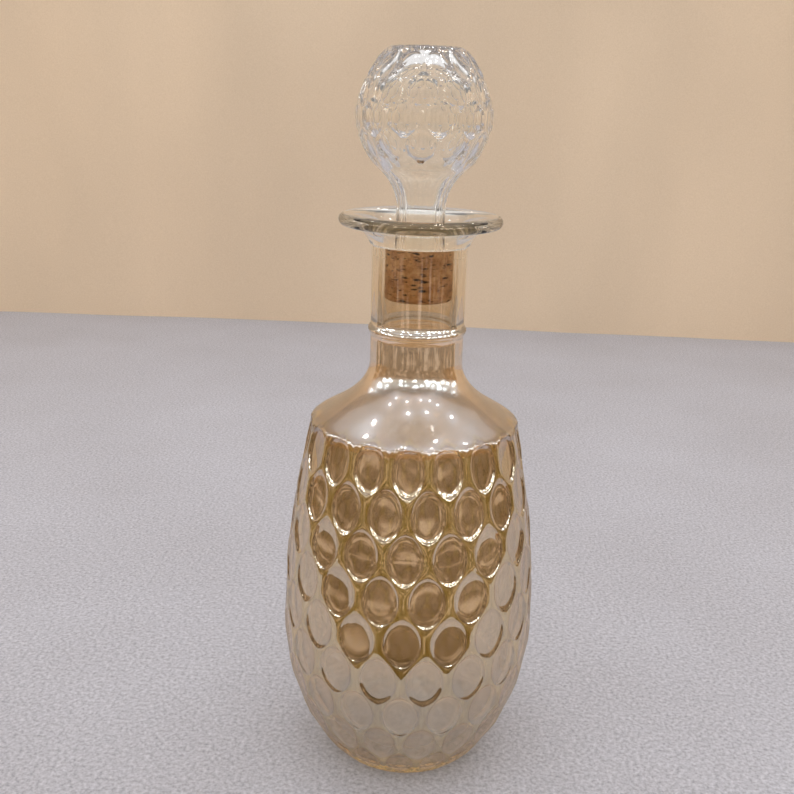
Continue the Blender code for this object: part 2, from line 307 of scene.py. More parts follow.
class Prints:
    """A field of oval prints in staggered rows, laid out in (u, v): one pitch round, one row down.

    Each print sits in a six-sided cell. Round its centre the cell's mesh runs in rings that follow
    the oval, so that the rim is a clean line.
    """

    def __init__(self, half_width, half_height, slant_steps, side_steps):
        self.a = half_width
        self.b = half_height
        shape = (half_height / half_width) ** 2
        self.tip = (1 + 0.25 * shape) / 2
        self.side = (1 - 0.25 * shape) / 2
        self.slant_steps = slant_steps
        self.side_steps = side_steps

    def edge(self, a, b, steps):
        """Points from a up to, but without, b."""
        return [(a[0] + (b[0] - a[0]) * i / steps, a[1] + (b[1] - a[1]) * i / steps) for i in range(steps)]

    def boundary(self):
        """Points round the cell's edge, relative to its centre."""
        corners = [(0.5, -self.side), (0.5, self.side), (0.0, self.tip)]
        corners += [(-0.5, self.side), (-0.5, -self.side), (0.0, -self.tip)]
        points = []
        for i in range(6):
            steps = self.side_steps if i in (0, 3) else self.slant_steps
            points += self.edge(corners[i], corners[(i + 1) % 6], steps)
        return points

    def reach(self, point):
        """How far out a point is, in ovals."""
        return math.hypot(point[0] / self.a, point[1] / self.b)

    def cell(self, skin, centre, place, depth, rings):
        """Add one cell. place(u, v, depth) gives a point in space, depth(out, limit) how deep it is.

        A ring's share is 0 at the centre, 1 on the oval's rim and 2 on the cell's edge.
        """
        edge = self.boundary()
        far = [self.reach(p) for p in edge]
        rows = []
        start = len(skin.points)
        for share in rings:
            row = []
            for p, reach in zip(edge, far):
                inner = min(1.0, reach * 0.97)
                if share <= 1.0:
                    out = share * inner
                else:
                    out = inner + (share - 1.0) * (reach - inner)
                k = out / reach
                row.append(place(centre[0] + p[0] * k, centre[1] + p[1] * k, depth(out, reach)))
            rows.append(row)
        skin.grid(rows, True)
        for i, share in enumerate(rings):
            here = (start + i * len(edge), start + (i + 1) * len(edge))
            skin.mark("ridge", 0.0 if share < 1.0 else 0.4 if share == 1.0 else 1.0, *here)
            # The rim mark sets where painted shade darkens the glass along a print's rim.
            rim = 1 - (1 - share) / RIM_PAINTED_SHADE_IN if share < 1.0 else 1 - (share - 1) / RIM_PAINTED_SHADE_OUT
            skin.mark("rim", max(0.0, rim), *here)
        skin.fan(place(centre[0], centre[1], depth(0.0, 2.0)), rows[0])

    def zigzag(self, centre_v, upper):
        """(u, v) of the open edge of a row of cells, for one pitch starting under a centre."""
        sign = -1 if upper else 1
        tip = centre_v + sign * self.tip
        side = centre_v + sign * self.side
        points = self.edge((0.0, tip), (0.5, side), self.slant_steps)
        points += self.edge((0.5, side), (1.0, tip), self.slant_steps)
        return points


# ---- The body ---------------------------------------------------------------------------------
def body_print_depth(out, limit):
    """Depth at a reach of out ovals, on a line that leaves the cell at limit ovals.

    Inside the oval it is a shallow bowl. Outside, the surface rises over a rounded ridge, which is
    lower where the neighbouring print is close.
    """
    room = (limit - 1.0) * PRINT_SPAN
    rise = RIDGE_RISE * (1.0 - math.exp(-room * room / (2 * RIDGE_CURVE * RIDGE_RISE)))
    if out <= 1.0:
        return RIDGE_RISE + BOWL_DEPTH * (1 - out ** 2) + RIM_DEPTH * (1 - out ** RIM_POWER)
    share = min(1.0, (out - 1.0) / (limit - 1.0))
    return RIDGE_RISE - rise * (1 - (1 - share) ** 2)


def outer_side():
    """The outside from the neck down over the shoulder and the side to the foot."""
    edge = (SHOULDER_RADIUS - SKIN, SHOULDER_HEIGHT)
    pull = (edge[0] - SHOULDER_ROUND * math.sin(SHOULDER_LEAN), edge[1] + SHOULDER_ROUND)
    neck = (NECK_RADIUS - SKIN, NECK_START)
    dome = [edge] + bezier(edge, pull, (neck[0], NECK_START - NECK_FLARE), neck, 160)
    dome.reverse()
    side = side_curve(SKIN, (FOOT_RADIUS - SKIN, 0.0), 200)
    side.reverse()
    top = Curve(dome)
    side[0] = edge
    return Curve(dome + side[1:]), top.length


def decanter_body():
    """The hollow vessel: printed side, smooth shoulder, neck with collar, flared lip, smooth inside."""
    outside, edge_at = outer_side()
    side_length = outside.length - edge_at
    last = ROW_START + ROW_PITCH * (ROWS - 1)
    foot_pitch = side_length - last
    prints = Prints(PRINT_HALF_WIDTH, PRINT_HALF_HEIGHT, SLANT_STEPS, UPRIGHT_STEPS)

    def distance(v):
        if v <= ROWS - 1:
            return edge_at + ROW_START + ROW_PITCH * v
        return edge_at + last + foot_pitch * (v - (ROWS - 1))

    def place(u, v, depth):
        """A point on the side. Past the shoulder's edge the prints run out in a scalloped crease."""
        at = distance(v)
        radius, height = outside.at(at)
        out = outside.outward(at)
        left = depth - (edge_at - at)
        sunk = min(depth, (left + math.hypot(left, CREASE_ROUND)) / 2)
        sunk -= CREASE_RISE * math.exp(-(left / CREASE_WIDTH) ** 2)
        return turned(radius - sunk * out[0], height - sunk * out[1], u * 2 * math.pi / AROUND)

    skin = Skin()
    for row in range(ROWS):
        for column in range(AROUND):
            rings = RINGS if row else SHOULDER_RINGS
            prints.cell(skin, (column + 0.5 * (row % 2), row), place, body_print_depth, rings)

    columns = AROUND * 2 * prints.slant_steps
    for edge_v, line_v, upper, shares in (
        (0, -1.0, True, CREASE_SHARES),
        (ROWS - 1, float(ROWS), False, (0.0, 0.2, 0.4, 0.6, 0.8, 1.0)),
    ):
        zigzag = prints.zigzag(edge_v, upper)
        rows = []
        start_point = len(skin.points)
        for share in shares:
            row = []
            for pitch in range(AROUND):
                for u, v in zigzag:
                    limit = prints.reach((u - round(u), v - edge_v))
                    depth = body_print_depth(limit, limit) * (1 - share) ** 2
                    row.append(place(u + pitch, v + (line_v - v) * share, depth))
            rows.append(row)
        skin.grid(rows, True)
        for i, share in enumerate(shares):
            onto = max(0.0, 1 - 2.5 * share) if upper else 1.0
            skin.mark("ridge", onto, start_point + i * columns, start_point + (i + 1) * columns)

    # Over the shoulder.
    start = distance(-1.0)
    steps = 30
    columns_u = [u + pitch for pitch in range(AROUND) for u, v in prints.zigzag(0, True)]
    line = [place(u, -1.0, 0.0) for u in columns_u]
    dome = [outside.at(start * (1 - step / steps)) for step in range(1, steps + 1)]
    skin.grid([line] + [ring(p, columns) for p in dome], True)

    # Up the outside of the neck to the lip, with half as many points round it.
    neck = NECK_RADIUS - SKIN
    upward = [(neck, height) for height in NECK_LEVELS]
    half = columns // 2
    skin.halve(ring(dome[-1], columns), ring(upward[0], half))
    for step in range(13):
        share = step / 12
        bulge = math.sin(math.pi * share) ** 0.8 if 0 < share < 1 else 0.0
        upward.append((neck + COLLAR_PROJECTION * bulge, COLLAR_HEIGHT + COLLAR_WIDTH * (share - 0.5)))
    upward += [(neck, height) for height in UPPER_NECK_LEVELS]
    upward += [(neck, STEP_HEIGHT - STEP_RISE - 0.0003), (neck + 0.0001, STEP_HEIGHT - STEP_RISE)]
    upward += [(neck + 0.0005, STEP_HEIGHT - STEP_RISE * 0.6)]
    upward += [(neck + 0.0009, STEP_HEIGHT - STEP_RISE * 0.3)]
    upward += [(neck + STEP_WIDTH, STEP_HEIGHT)]
    bead = LIP_THICKNESS / 2 - SKIN
    bead_centre = (LIP_RADIUS - SKIN - bead, LIP_TOP - SKIN - bead)
    under = (bead_centre[0], bead_centre[1] - bead)
    flare_pull = (NECK_RADIUS + 2.5 * STEP_WIDTH, under[1] - bead)
    upward += bezier(upward[-1], flare_pull, (under[0] - LIP_THICKNESS, under[1]), under, 14)
    upward += arc(bead_centre, bead, -90, 90, 16)
    funnel_end = (BORE_RADIUS, LIP_TOP - MOUTH_DEPTH)
    funnel_top = (BORE_RADIUS + (LIP_RADIUS - BORE_RADIUS) / 2, LIP_TOP)
    upward += bezier(upward[-1], funnel_top, (BORE_RADIUS, LIP_TOP - MOUTH_DEPTH / 3), funnel_end, 18)
    skin.grid([ring(p, half) for p in upward], True)

    # Under the foot.
    foot = [(FOOT_RADIUS - SKIN - 0.0006, 0.0), (FOOT_RADIUS - FOOT_WIDTH + 0.0003, 0.0)]
    foot += [(FOOT_RADIUS - FOOT_WIDTH - 0.0004, 0.0003), (FOOT_RADIUS - FOOT_WIDTH - 0.0012, FOOT_HOLLOW)]
    foot += [(0.016, FOOT_HOLLOW), (0.008, FOOT_HOLLOW)]
    foot_line = [place(u, float(ROWS), 0.0) for u in columns_u]
    under_rows = [foot_line] + [ring(p, columns) for p in foot]
    skin.grid(under_rows, True)
    skin.fan((0.0, 0.0, FOOT_HOLLOW), under_rows[-1])

    # Down the bore and over the inside to its floor.
    inside_from = len(skin.points)
    downward = [upward[-1]] + [(BORE_RADIUS, height) for height in BORE_LEVELS]
    low = (FOOT_RADIUS - WALL / 2, BASE_THICKNESS)
    inside = side_curve(WALL, low, 22)
    inside.reverse()
    inner_edge = inside[0]
    bore_low = (BORE_RADIUS, NECK_START - NECK_FLARE)
    edge_pull = (inner_edge[0], inner_edge[1] + SHOULDER_ROUND)
    downward += bezier(downward[-1], bore_low, edge_pull, inner_edge, 22)
    downward += inside[1:]
    for share in (0.93, 0.8, 0.6, 0.4, 0.2):
        sag = FLOOR_SAG * (1 - share * share)
        downward.append((low[0] * share, BASE_THICKNESS + sag))
    floor = [ring(p, half) for p in downward]
    skin.grid(floor, True)
    skin.fan((0.0, 0.0, BASE_THICKNESS + FLOOR_SAG), floor[-1])
    skin.mark("inside", 1.0, inside_from)
    return skin.build("vessel")


# ---- The stopper ------------------------------------------------------------------------------
def stopper_print_depth(out, limit):
    """Depth at a reach of out ovals: a bowl that meets its neighbour, at limit, in a rounded crest."""
    share = out / limit
    if share > 1 - 2 * CREST_SOFT:
        out = limit * (1 - CREST_SOFT - (1 - share) ** 2 / (4 * CREST_SOFT))
    if out >= 1.0:
        return 0.0
    return GLOBE_BOWL * (1 - out ** 2) + GLOBE_RIM * (1 - out ** GLOBE_RIM_POWER)


def stopper():
    """The hollow globe with its honeycomb of prints, the fluted flare and the open shank."""
    prints = Prints(
        GLOBE_PRINT_HALF_WIDTH, GLOBE_PRINT_HALF_HEIGHT, GLOBE_SLANT_STEPS, GLOBE_UPRIGHT_STEPS
    )
    radius = GLOBE_RADIUS - SKIN
    columns = GLOBE_AROUND * 2 * prints.slant_steps
    skin = Skin()

    def place(u, v, depth):
        latitude = GLOBE_TOP_ROW - v * GLOBE_PITCH
        swell = CROWN_SPREAD * math.exp(-((latitude - CROWN_AT) / CROWN_BAND) ** 2)
        reach = radius * (1 + swell) - depth
        height = GLOBE_CENTRE + min(reach * math.sin(latitude), GLOBE_CROWN - SKIN)
        return turned(reach * math.cos(latitude), height, u * 2 * math.pi / GLOBE_AROUND)

    for row in range(GLOBE_ROWS):
        for column in range(GLOBE_AROUND):
            centre = (column + 0.5 * ((row + 1) % 2), row)
            prints.cell(skin, centre, place, stopper_print_depth, GLOBE_RINGS)

    # The last row is not offset, the first is: its open edge is turned by half a pitch.
    crown = math.asin((GLOBE_CROWN - SKIN) / radius)
    crown_v = (GLOBE_TOP_ROW - crown) / GLOBE_PITCH
    leave_v = (GLOBE_TOP_ROW - GLOBE_LEAVE) / GLOBE_PITCH
    tops = []
    ends = ((0, crown_v, True, 0.5), (GLOBE_ROWS - 1, leave_v, False, 0.0))
    for edge_v, line_v, upper, shift in ends:
        zigzag = prints.zigzag(edge_v, upper)
        rows = []
        for share in (0.0, 0.3, 0.6, 0.85, 1.0):
            row = []
            for pitch in range(GLOBE_AROUND):
                for u, v in zigzag:
                    out = prints.reach((u - round(u), v - edge_v))
                    depth = stopper_print_depth(out, out) * (1 - share) ** 2
                    row.append(place(u + pitch + shift, v + (line_v - v) * share, depth))
            rows.append(row)
        skin.grid(rows, True)
        tops.append(rows[-1])

    # The flat crown.
    top = GLOBE_CENTRE + GLOBE_CROWN - SKIN
    rows = [tops[0]]
    for share in (0.93, 0.8, 0.5, 0.25):
        rows.append([(x * share, y * share, top) for x, y, z in tops[0]])
    skin.grid(rows, True)
    skin.fan((0.0, 0.0, top), rows[-1])

    # The fluted flare and shank.
    leave = (radius * math.cos(GLOBE_LEAVE), GLOBE_CENTRE + radius * math.sin(GLOBE_LEAVE))
    pull = (FLARE_END - FLARE_START) / 3
    leave_pull = (leave[0] + pull * math.sin(GLOBE_LEAVE), leave[1] - pull * math.cos(GLOBE_LEAVE))
    shank = SHANK_RADIUS - SKIN
    straight = (shank, FLARE_START)
    line = bezier(leave, leave_pull, (shank, FLARE_START + 1.5 * pull), straight, 16)
    fall = SHANK_END + SHANK_BREAK - FLARE_START
    line += [(shank, FLARE_START + fall * i / 14) for i in range(1, 15)]
    rows = [tops[1]]
    for i, point in enumerate(line):
        fade = min(1.0, (i + 1) / 5) * min(1.0, max(0.0, point[1] - FLUTE_LOW) / FLUTE_FADE)
        deep = -FLUTE_DEPTH * fade
        rows.append(ring(point, columns, lambda turn: deep * abs(math.cos(turn * GLOBE_AROUND / 2)) ** 0.7))
    skin.grid(rows, True)

    # Round its open end and up the inside.
    end = [(shank - 0.0001, SHANK_END + 0.0002), (shank - 0.0005, SHANK_END)]
    end += [(SHANK_BORE + 0.0005, SHANK_END), (SHANK_BORE + 0.0001, SHANK_END + 0.0002)]
    end += [(SHANK_BORE, SHANK_END + SHANK_BREAK), (SHANK_BORE, 0.200)]
    end += [(SHANK_BORE, FLARE_START)]
    hollow = GLOBE_RADIUS - GLOBE_WALL
    low = (hollow * math.cos(GLOBE_LEAVE), GLOBE_CENTRE + hollow * math.sin(GLOBE_LEAVE))
    low_pull = (low[0] + pull * math.sin(GLOBE_LEAVE), low[1] - pull * math.cos(GLOBE_LEAVE))
    end += bezier(end[-1], (SHANK_BORE, FLARE_START + 1.5 * pull), low_pull, low, 14)
    inner_top = math.degrees(math.asin((GLOBE_CROWN - GLOBE_WALL) / hollow))
    end += arc((0.0, GLOBE_CENTRE), hollow, math.degrees(GLOBE_LEAVE), inner_top, 34)
    rim = end[-1]
    end += [(rim[0] * share, rim[1]) for share in (0.85, 0.55, 0.25)]
    inner = [rows[-1]] + [ring(p, columns) for p in end]
    skin.grid(inner, True)
    skin.fan((0.0, 0.0, rim[1]), inner[-1])
    return skin.build("globe_stopper")


# ---- The cork ---------------------------------------------------------------------------------
def cork_pits():
    """Pits in the cork's side: turn, height, half width, half height and depth of each."""
    rng = random.Random(7)
    pits = []
    for _ in range(CORK_PITS):
        deep = rng.random() ** 3
        pits.append((
            rng.uniform(0, 2 * math.pi),
            rng.uniform(CORK_BOTTOM + 0.0006, CORK_TOP - 0.0004),
            rng.uniform(0.0002, 0.0006) + 0.0010 * deep,
            rng.uniform(0.00014, 0.0003) + 0.0002 * deep,
            rng.uniform(0.00015, 0.0004) + 0.0004 * deep,
        ))
    return pits


def cork_outline():
    """The cork's section from the middle of its underside round to the floor of its hole."""
    outline = [(0.004, CORK_BOTTOM), (0.007, CORK_BOTTOM), (0.0092, CORK_BOTTOM)]
    outline += [(CORK_RADIUS - CORK_CHAMFER, CORK_BOTTOM)]
    outline += [(CORK_RADIUS - CORK_CHAMFER * 0.5, CORK_BOTTOM + 0.0004)]
    outline += [(CORK_RADIUS - CORK_CHAMFER * 0.15, CORK_BOTTOM + 0.0009)]
    low, high = CORK_BOTTOM + CORK_CHAMFER, CORK_TOP - 0.0003
    outline += [(CORK_RADIUS, low + (high - low) * i / CORK_RINGS) for i in range(CORK_RINGS + 1)]
    outline += [(CORK_RADIUS - 0.0003, CORK_TOP), (CORK_HOLE + 0.0012, CORK_TOP), (CORK_HOLE, CORK_TOP)]
    outline += [(CORK_HOLE, CORK_TOP - 0.002), (CORK_HOLE, CORK_TOP - 0.006), (CORK_HOLE, HOLE_FLOOR)]
    outline += [(0.005, HOLE_FLOOR)]
    return outline


def cork():
    """Natural cork with a blind hole for the shank, a grainy side with pits, and a worn lower edge."""
    pits = cork_pits()
    rows = []
    marks = []
    for radius, height in cork_outline():
        row = []
        for column in range(CORK_COLUMNS):
            turn = 2 * math.pi * column / CORK_COLUMNS
            spot = Vector((math.cos(turn) * 3.2, math.sin(turn) * 3.2, height * 280))
            grain = noise.noise(spot * 2.4) * 0.00010 + noise.noise(spot * 6.0) * 0.00005
            dark = 0.0
            sunk = 0.0
            if radius > CORK_SIDE:
                for at, level, half_wide, half_high, deep in pits:
                    across = (turn - at + math.pi) % (2 * math.pi) - math.pi
                    off = math.hypot(across * CORK_RADIUS / half_wide, (height - level) / half_high)
                    if off < 1.6:
                        off += 0.35 * noise.noise(spot * 9.0)
                        share = max(0.0, min(1.0, 1.35 - off))
                        sunk = max(sunk, deep * share)
                        # A pit darkens the more the deeper it is: the pit's own dark colour and painted
                        # shade in it.
                        dark = max(dark, min(1.0, share * 1.4) * min(1.0, deep / PIT_DARK))
            shrink = max(0.0, CORK_GRAIN - grain) + sunk if radius > CORK_SIDE else 0.0
            row.append(turned(max(radius - shrink, 0.0005), height, turn))
            marks.append(dark)
        rows.append(row)
    skin = Skin()
    skin.grid(rows, True)
    skin.fan((0.0, 0.0, CORK_BOTTOM), rows[0])
    skin.fan((0.0, 0.0, HOLE_FLOOR), rows[-1])
    made = skin.build("cork_plug")
    layer = made.data.attributes.new("pit", "FLOAT", "POINT")
    known = {}
    for point, dark in zip([p for row in rows for p in row], marks):
        known[tuple(round(c * 1e6) for c in point)] = dark
    for vertex in made.data.vertices:
        layer.data[vertex.index].value = known.get(tuple(round(c * 1e6) for c in vertex.co), 0.0)
    return made


# ---- Materials --------------------------------------------------------------------------------
GLASS_IOR = 1.5
LUSTRE_IOR = 2.6
LUSTRE_THICK = 55.0  # nanometres of lustre on the side
LUSTRE_THIN = 11.0  # and at the lip
LUSTRE_FADE = (0.150, 0.208)  # the heights between which the lustre thins out
NECK_TINT = (0.136, 0.150)  # the heights between which the side's tint gives way to the neck's
SATIN_START = (0.131, 0.1365)  # the heights between which the shoulder's satin sheen sets in
SATIN_END = (0.160, 0.148)  # and those between which it ends
CLEAR = (1.0, 1.0, 1.0, 1.0)


class Nodes:
    """Short calls for building a node tree."""

    def __init__(self, name, world=False):
        self.made = bpy.data.worlds.new(name) if world else bpy.data.materials.new(name)
        self.made.use_nodes = True
        self.tree = self.made.node_tree
        self.tree.nodes.clear()

    def add(self, kind, inputs=None, **settings):
        """A node, with each input linked to a socket or set to a value."""
        node = self.tree.nodes.new(kind)
        for key, value in settings.items():
            setattr(node, key, value)
        for key, value in (inputs or {}).items():
            if isinstance(value, bpy.types.NodeSocket):
                self.tree.links.new(value, node.inputs[key])
            else:
                node.inputs[key].default_value = value
        return node

    def math(self, operation, a, b=0.0, clamp=False):
        return self.add("ShaderNodeMath", {0: a, 1: b}, operation=operation, use_clamp=clamp).outputs[0]

    def mix(self, share, a, b, blend="MIX"):
        """Colour a blended with colour b by a share."""
        keys = {0: share, 6: a, 7: b}
        return self.add("ShaderNodeMix", keys, data_type="RGBA", blend_type=blend).outputs[2]

    def ramp(self, value, stops):
        """A colour ramp over a value, from (position, colour) stops."""
        node = self.add("ShaderNodeValToRGB", {0: value})
        elements = node.color_ramp.elements
        while len(elements) > 1:
            elements.remove(elements[-1])
        elements[0].position = stops[0][0]
        elements[0].color = (*stops[0][1], 1.0)
        for position, colour in stops[1:]:
            elements.new(position).color = (*colour, 1.0)
        return node.outputs[0]

    def spread(self, value, low, high, to_low=0.0, to_high=1.0):
        """A value mapped from one range onto another, and held at its ends."""
        keys = {"Value": value, "From Min": low, "From Max": high, "To Min": to_low, "To Max": to_high}
        return self.add("ShaderNodeMapRange", keys, clamp=True).outputs[0]

    def noise(self, vector, scale, detail=3.0, rough=0.5):
        keys = {"Vector": vector, "Scale": scale, "Detail": detail, "Roughness": rough}
        return self.add("ShaderNodeTexNoise", keys).outputs[0]

    def object_point(self):
        return self.add("ShaderNodeTexCoord").outputs["Object"]

    def height(self, point):
        return self.add("ShaderNodeSeparateXYZ", {0: point}).outputs[2]

    def drawn_out(self, point, scale):
        """The point with its height scaled: below 1, a pattern on it is drawn out upwards."""
        return self.add("ShaderNodeMapping", {0: point, "Scale": (1.0, 1.0, scale)}).outputs[0]

    def attribute(self, name):
        return self.add("ShaderNodeAttribute", attribute_name=name).outputs["Fac"]

    def output(self, shader, volume=None):
        inputs = {"Surface": shader}
        if volume is not None:
            inputs["Volume"] = volume
        self.add("ShaderNodeOutputMaterial", inputs)
        return self.made


def lustre_glass():
    """Pressed glass under an amber lustre that is deeper on the ridges and fades out up the neck.

    The inside has no lustre. The shoulder has a satin sheen over it. A dark line of painted shade runs
    along each print's rim.
    """
    n = Nodes("amber_lustre_glass")
    point = n.object_point()
    height = n.height(point)
    inside = n.attribute("inside")
    cloud = n.noise(point, 38.0, 3.0, 0.55)
    fade = n.spread(height, *LUSTRE_FADE)
    amount = n.math("ADD", fade, n.math("MULTIPLY", n.math("SUBTRACT", cloud, 0.5), 0.25), True)
    streak = n.noise(n.drawn_out(point, 0.12), 700.0, 2.0, 0.6)
    deep = n.ramp(
        streak,
        [(0.35, (0.60, 0.34, 0.03)), (0.5, (0.80, 0.52, 0.08)), (0.65, (0.92, 0.66, 0.16))],
    )
    thin = n.ramp(
        cloud,
        [(0.35, (0.62, 0.38, 0.16)), (0.5, (0.78, 0.50, 0.23)), (0.65, (0.92, 0.64, 0.33))],
    )
    side = n.mix(n.attribute("ridge"), thin, deep)
    # Painted shade: a dark brown line along each print's rim, blended in by the rim mark.
    rim = n.math("MULTIPLY", n.attribute("rim"), n.spread(streak, 0.35, 0.6, 0.9, 0.55))
    side = n.mix(rim, side, (0.34, 0.17, 0.05, 1.0))
    upper = n.ramp(
        amount,
        [(0.0, (0.94, 0.68, 0.38)), (0.45, (0.96, 0.82, 0.60)), (1.0, (0.97, 0.96, 0.92))],
    )
    colour = n.mix(n.spread(height, *NECK_TINT), side, upper)
    colour = n.mix(inside, colour, CLEAR)
    film = n.spread(amount, 0.0, 1.0, LUSTRE_THICK, LUSTRE_THIN)
    satin = n.math("MULTIPLY", n.spread(height, *SATIN_START), n.spread(height, *SATIN_END))
    coated = n.math("SUBTRACT", n.math("SUBTRACT", 1.0, inside), n.math("MULTIPLY", satin, 0.58), True)
    film = n.math("MULTIPLY", film, coated)
    rough = n.math("ADD", n.spread(cloud, 0.3, 0.75, 0.006, 0.02), n.math("MULTIPLY", satin, 0.24))
    haze_up = n.spread(height, 0.158, 0.140, 0.0, 0.15)
    haze_low = n.spread(height, 0.050, 0.015, 0.0, 0.18)
    haze = n.math("ADD", haze_up, haze_low)
    rough = n.add("ShaderNodeMix", {0: inside, 2: rough, 3: haze}).outputs[0]
    shader = n.add(
        "ShaderNodeBsdfPrincipled",
        {
            "Base Color": colour,
            "Roughness": rough,
            "IOR": GLASS_IOR,
            "Transmission Weight": 1.0,
            "Thin Film Thickness": film,
            "Thin Film IOR": LUSTRE_IOR,
            "Coat Weight": n.math("MULTIPLY", satin, 0.7),
            "Coat Roughness": 0.05,
            "Coat IOR": 1.9,
        },
    )
    volume = n.add("ShaderNodeVolumeAbsorption", {"Color": (0.84, 0.83, 0.74, 1.0), "Density": 9.0})
    return n.output(shader.outputs[0], volume.outputs[0])


def clear_glass():
    """Clear pressed glass with a trace of haze."""
    n = Nodes("clear_pressed_glass")
    point = n.object_point()
    haze = n.noise(point, 160.0, 3.0, 0.6)
    colour = n.ramp(haze, [(0.3, (1.0, 1.0, 1.0)), (0.7, (0.97, 0.985, 0.98))])
    rough = n.spread(haze, 0.3, 0.75, 0.0, 0.03)
    shader = n.add(
        "ShaderNodeBsdfPrincipled",
        {"Base Color": colour, "Roughness": rough, "IOR": GLASS_IOR, "Transmission Weight": 1.0},
    )
    return n.output(shader.outputs[0])


def natural_cork():
    """Warm brown cork with darker flecks, and pits darkened by their own colour and by painted shade."""
    n = Nodes("natural_cork")
    point = n.object_point()
    grain = n.noise(point, 420.0, 5.0, 0.65)
    patch = n.noise(point, 120.0, 3.0, 0.6)
    flow = n.noise(n.drawn_out(point, 3.0), 260.0, 4.0, 0.6)
    base = n.ramp(
        grain,
        [(0.3, (0.46, 0.22, 0.085)), (0.5, (0.80, 0.46, 0.20)), (0.72, (0.98, 0.70, 0.38))],
    )
    tone = n.ramp(patch, [(0.3, (0.66, 0.58, 0.52)), (0.6, (1.0, 1.0, 1.0)), (0.8, (1.0, 0.95, 0.88))])
    mixed = n.mix(1.0, base, tone, "MULTIPLY")
    flecks = n.ramp(flow, [(0.30, (0.16, 0.10, 0.07)), (0.40, (1.0, 1.0, 1.0))])
    mixed = n.mix(0.8, mixed, flecks, "MULTIPLY")
    # The pit mark blends in near-black: the pits' own dark colour and painted shade in them.
    dark = n.mix(n.attribute("pit"), mixed, (0.010, 0.006, 0.005, 1.0))
    bump = n.add("ShaderNodeBump", {"Height": grain, "Strength": 0.5, "Distance": 0.0002})
    rough = n.spread(grain, 0.3, 0.7, 0.72, 0.9)
    shader = n.add(
        "ShaderNodeBsdfPrincipled",
        {"Base Color": dark, "Roughness": rough, "Normal": bump.outputs[0]},
    )
    return n.output(shader.outputs[0])


def cloth(name, weave, slow, base, tone, bump):
    """Matt cloth: a fine weave coloured by a ramp, a slow drift in tone and a shallow bump.

    weave and slow are a noise's scale, detail and roughness; slow's first value draws it out upwards.
    """
    n = Nodes(name)
    point = n.object_point()
    fine = n.noise(point, *weave)
    drift = n.noise(n.drawn_out(point, slow[0]), *slow[1:])
    mixed = n.mix(1.0, n.ramp(fine, base), n.ramp(drift, tone), "MULTIPLY")
    dents = n.add("ShaderNodeBump", {"Height": fine, "Strength": bump[0], "Distance": bump[1]})
    shader = n.add(
        "ShaderNodeBsdfPrincipled",
        {
            "Base Color": mixed,
            "Roughness": n.spread(fine, 0.3, 0.7, 0.85, 0.95),
            "Normal": dents.outputs[0],
        },
    )
    return n.output(shader.outputs[0])


def table_cloth():
    """Pale blue-grey cloth with a fine felted grain."""
    return cloth(
        "pale_cloth",
        weave=(620.0, 4.0, 0.7),
        slow=(1.0, 9.0, 3.0, 0.5),
        base=[(0.30, (0.29, 0.30, 0.345)), (0.50, (0.465, 0.48, 0.54)), (0.70, (0.62, 0.635, 0.70))],
        tone=[(0.3, (0.95, 0.94, 0.94)), (0.7, (1.03, 1.03, 1.04))],
        bump=(0.35, 0.0006),
    )


def curtain_cloth():
    """Beige backdrop cloth."""
    return cloth(
        "beige_backdrop",
        weave=(700.0, 3.0, 0.6),
        slow=(0.35, 5.0, 3.0, 0.5),
        base=[(0.3, (0.86, 0.72, 0.55)), (0.7, (0.93, 0.79, 0.62))],
        tone=[(0.3, (0.90, 0.90, 0.90)), (0.7, (1.04, 1.03, 1.02))],
        bump=(0.2, 0.0005),
    )


# ---- Stage, light and camera ------------------------------------------------------------------
BACKDROP_RADIUS = 0.75
BACKDROP_HEIGHT = 0.62
FLOOR_LEVEL = -0.0001  # just under the foot
TABLE_EDGE = 0.127  # from the decanter to the table's front edge
TABLE_SIDE = 0.36  # and to its sides
ROOM_SPREAD = math.radians(112)  # how far round to each side the room shows
ROOM_RADIUS = 0.70
ROOM_FLOOR = 0.0006  # just over the cloth
ROOM_STEPS = 80
LAMPS_FROM = 0.26  # the height where the room's lamps begin
LAMPS_FULL = 0.34


def stage():
    """A cloth floor and a backdrop that runs all the way round, with soft folds."""
    floor = Skin()
    rings = [0.06, 0.12, 0.2, 0.32, 0.46, 0.62, 0.80, 1.05]
    rows = [ring((r, FLOOR_LEVEL), 96) for r in rings]
    floor.grid(rows, True)
    floor.fan((0.0, 0.0, FLOOR_LEVEL), rows[0])
    ground = floor.build("floor_cloth")
    ground.data.materials.append(table_cloth())
    wall = Skin()
    rows = []
    for step in range(25):
        height = -0.01 + BACKDROP_HEIGHT * step / 24
        row = []
        for column in range(360):
            turn = 2 * math.pi * column / 360
            spot = Vector((math.cos(turn) * 2.0, math.sin(turn) * 2.0, height * 1.2))
            fold = 0.020 * noise.noise(spot * 1.6)
            fold += 0.006 * noise.noise(spot * 4.0 + Vector((7.0, 0.0, 0.0)))
            flat = (abs(math.cos(turn)) ** 8 + abs(math.sin(turn)) ** 8) ** -0.125
            row.append(turned(BACKDROP_RADIUS * flat + fold, height, turn))
        rows.append(row)
    wall.grid(rows, True)
    drape = wall.build("backdrop_cloth")
    drape.data.materials.append(curtain_cloth())


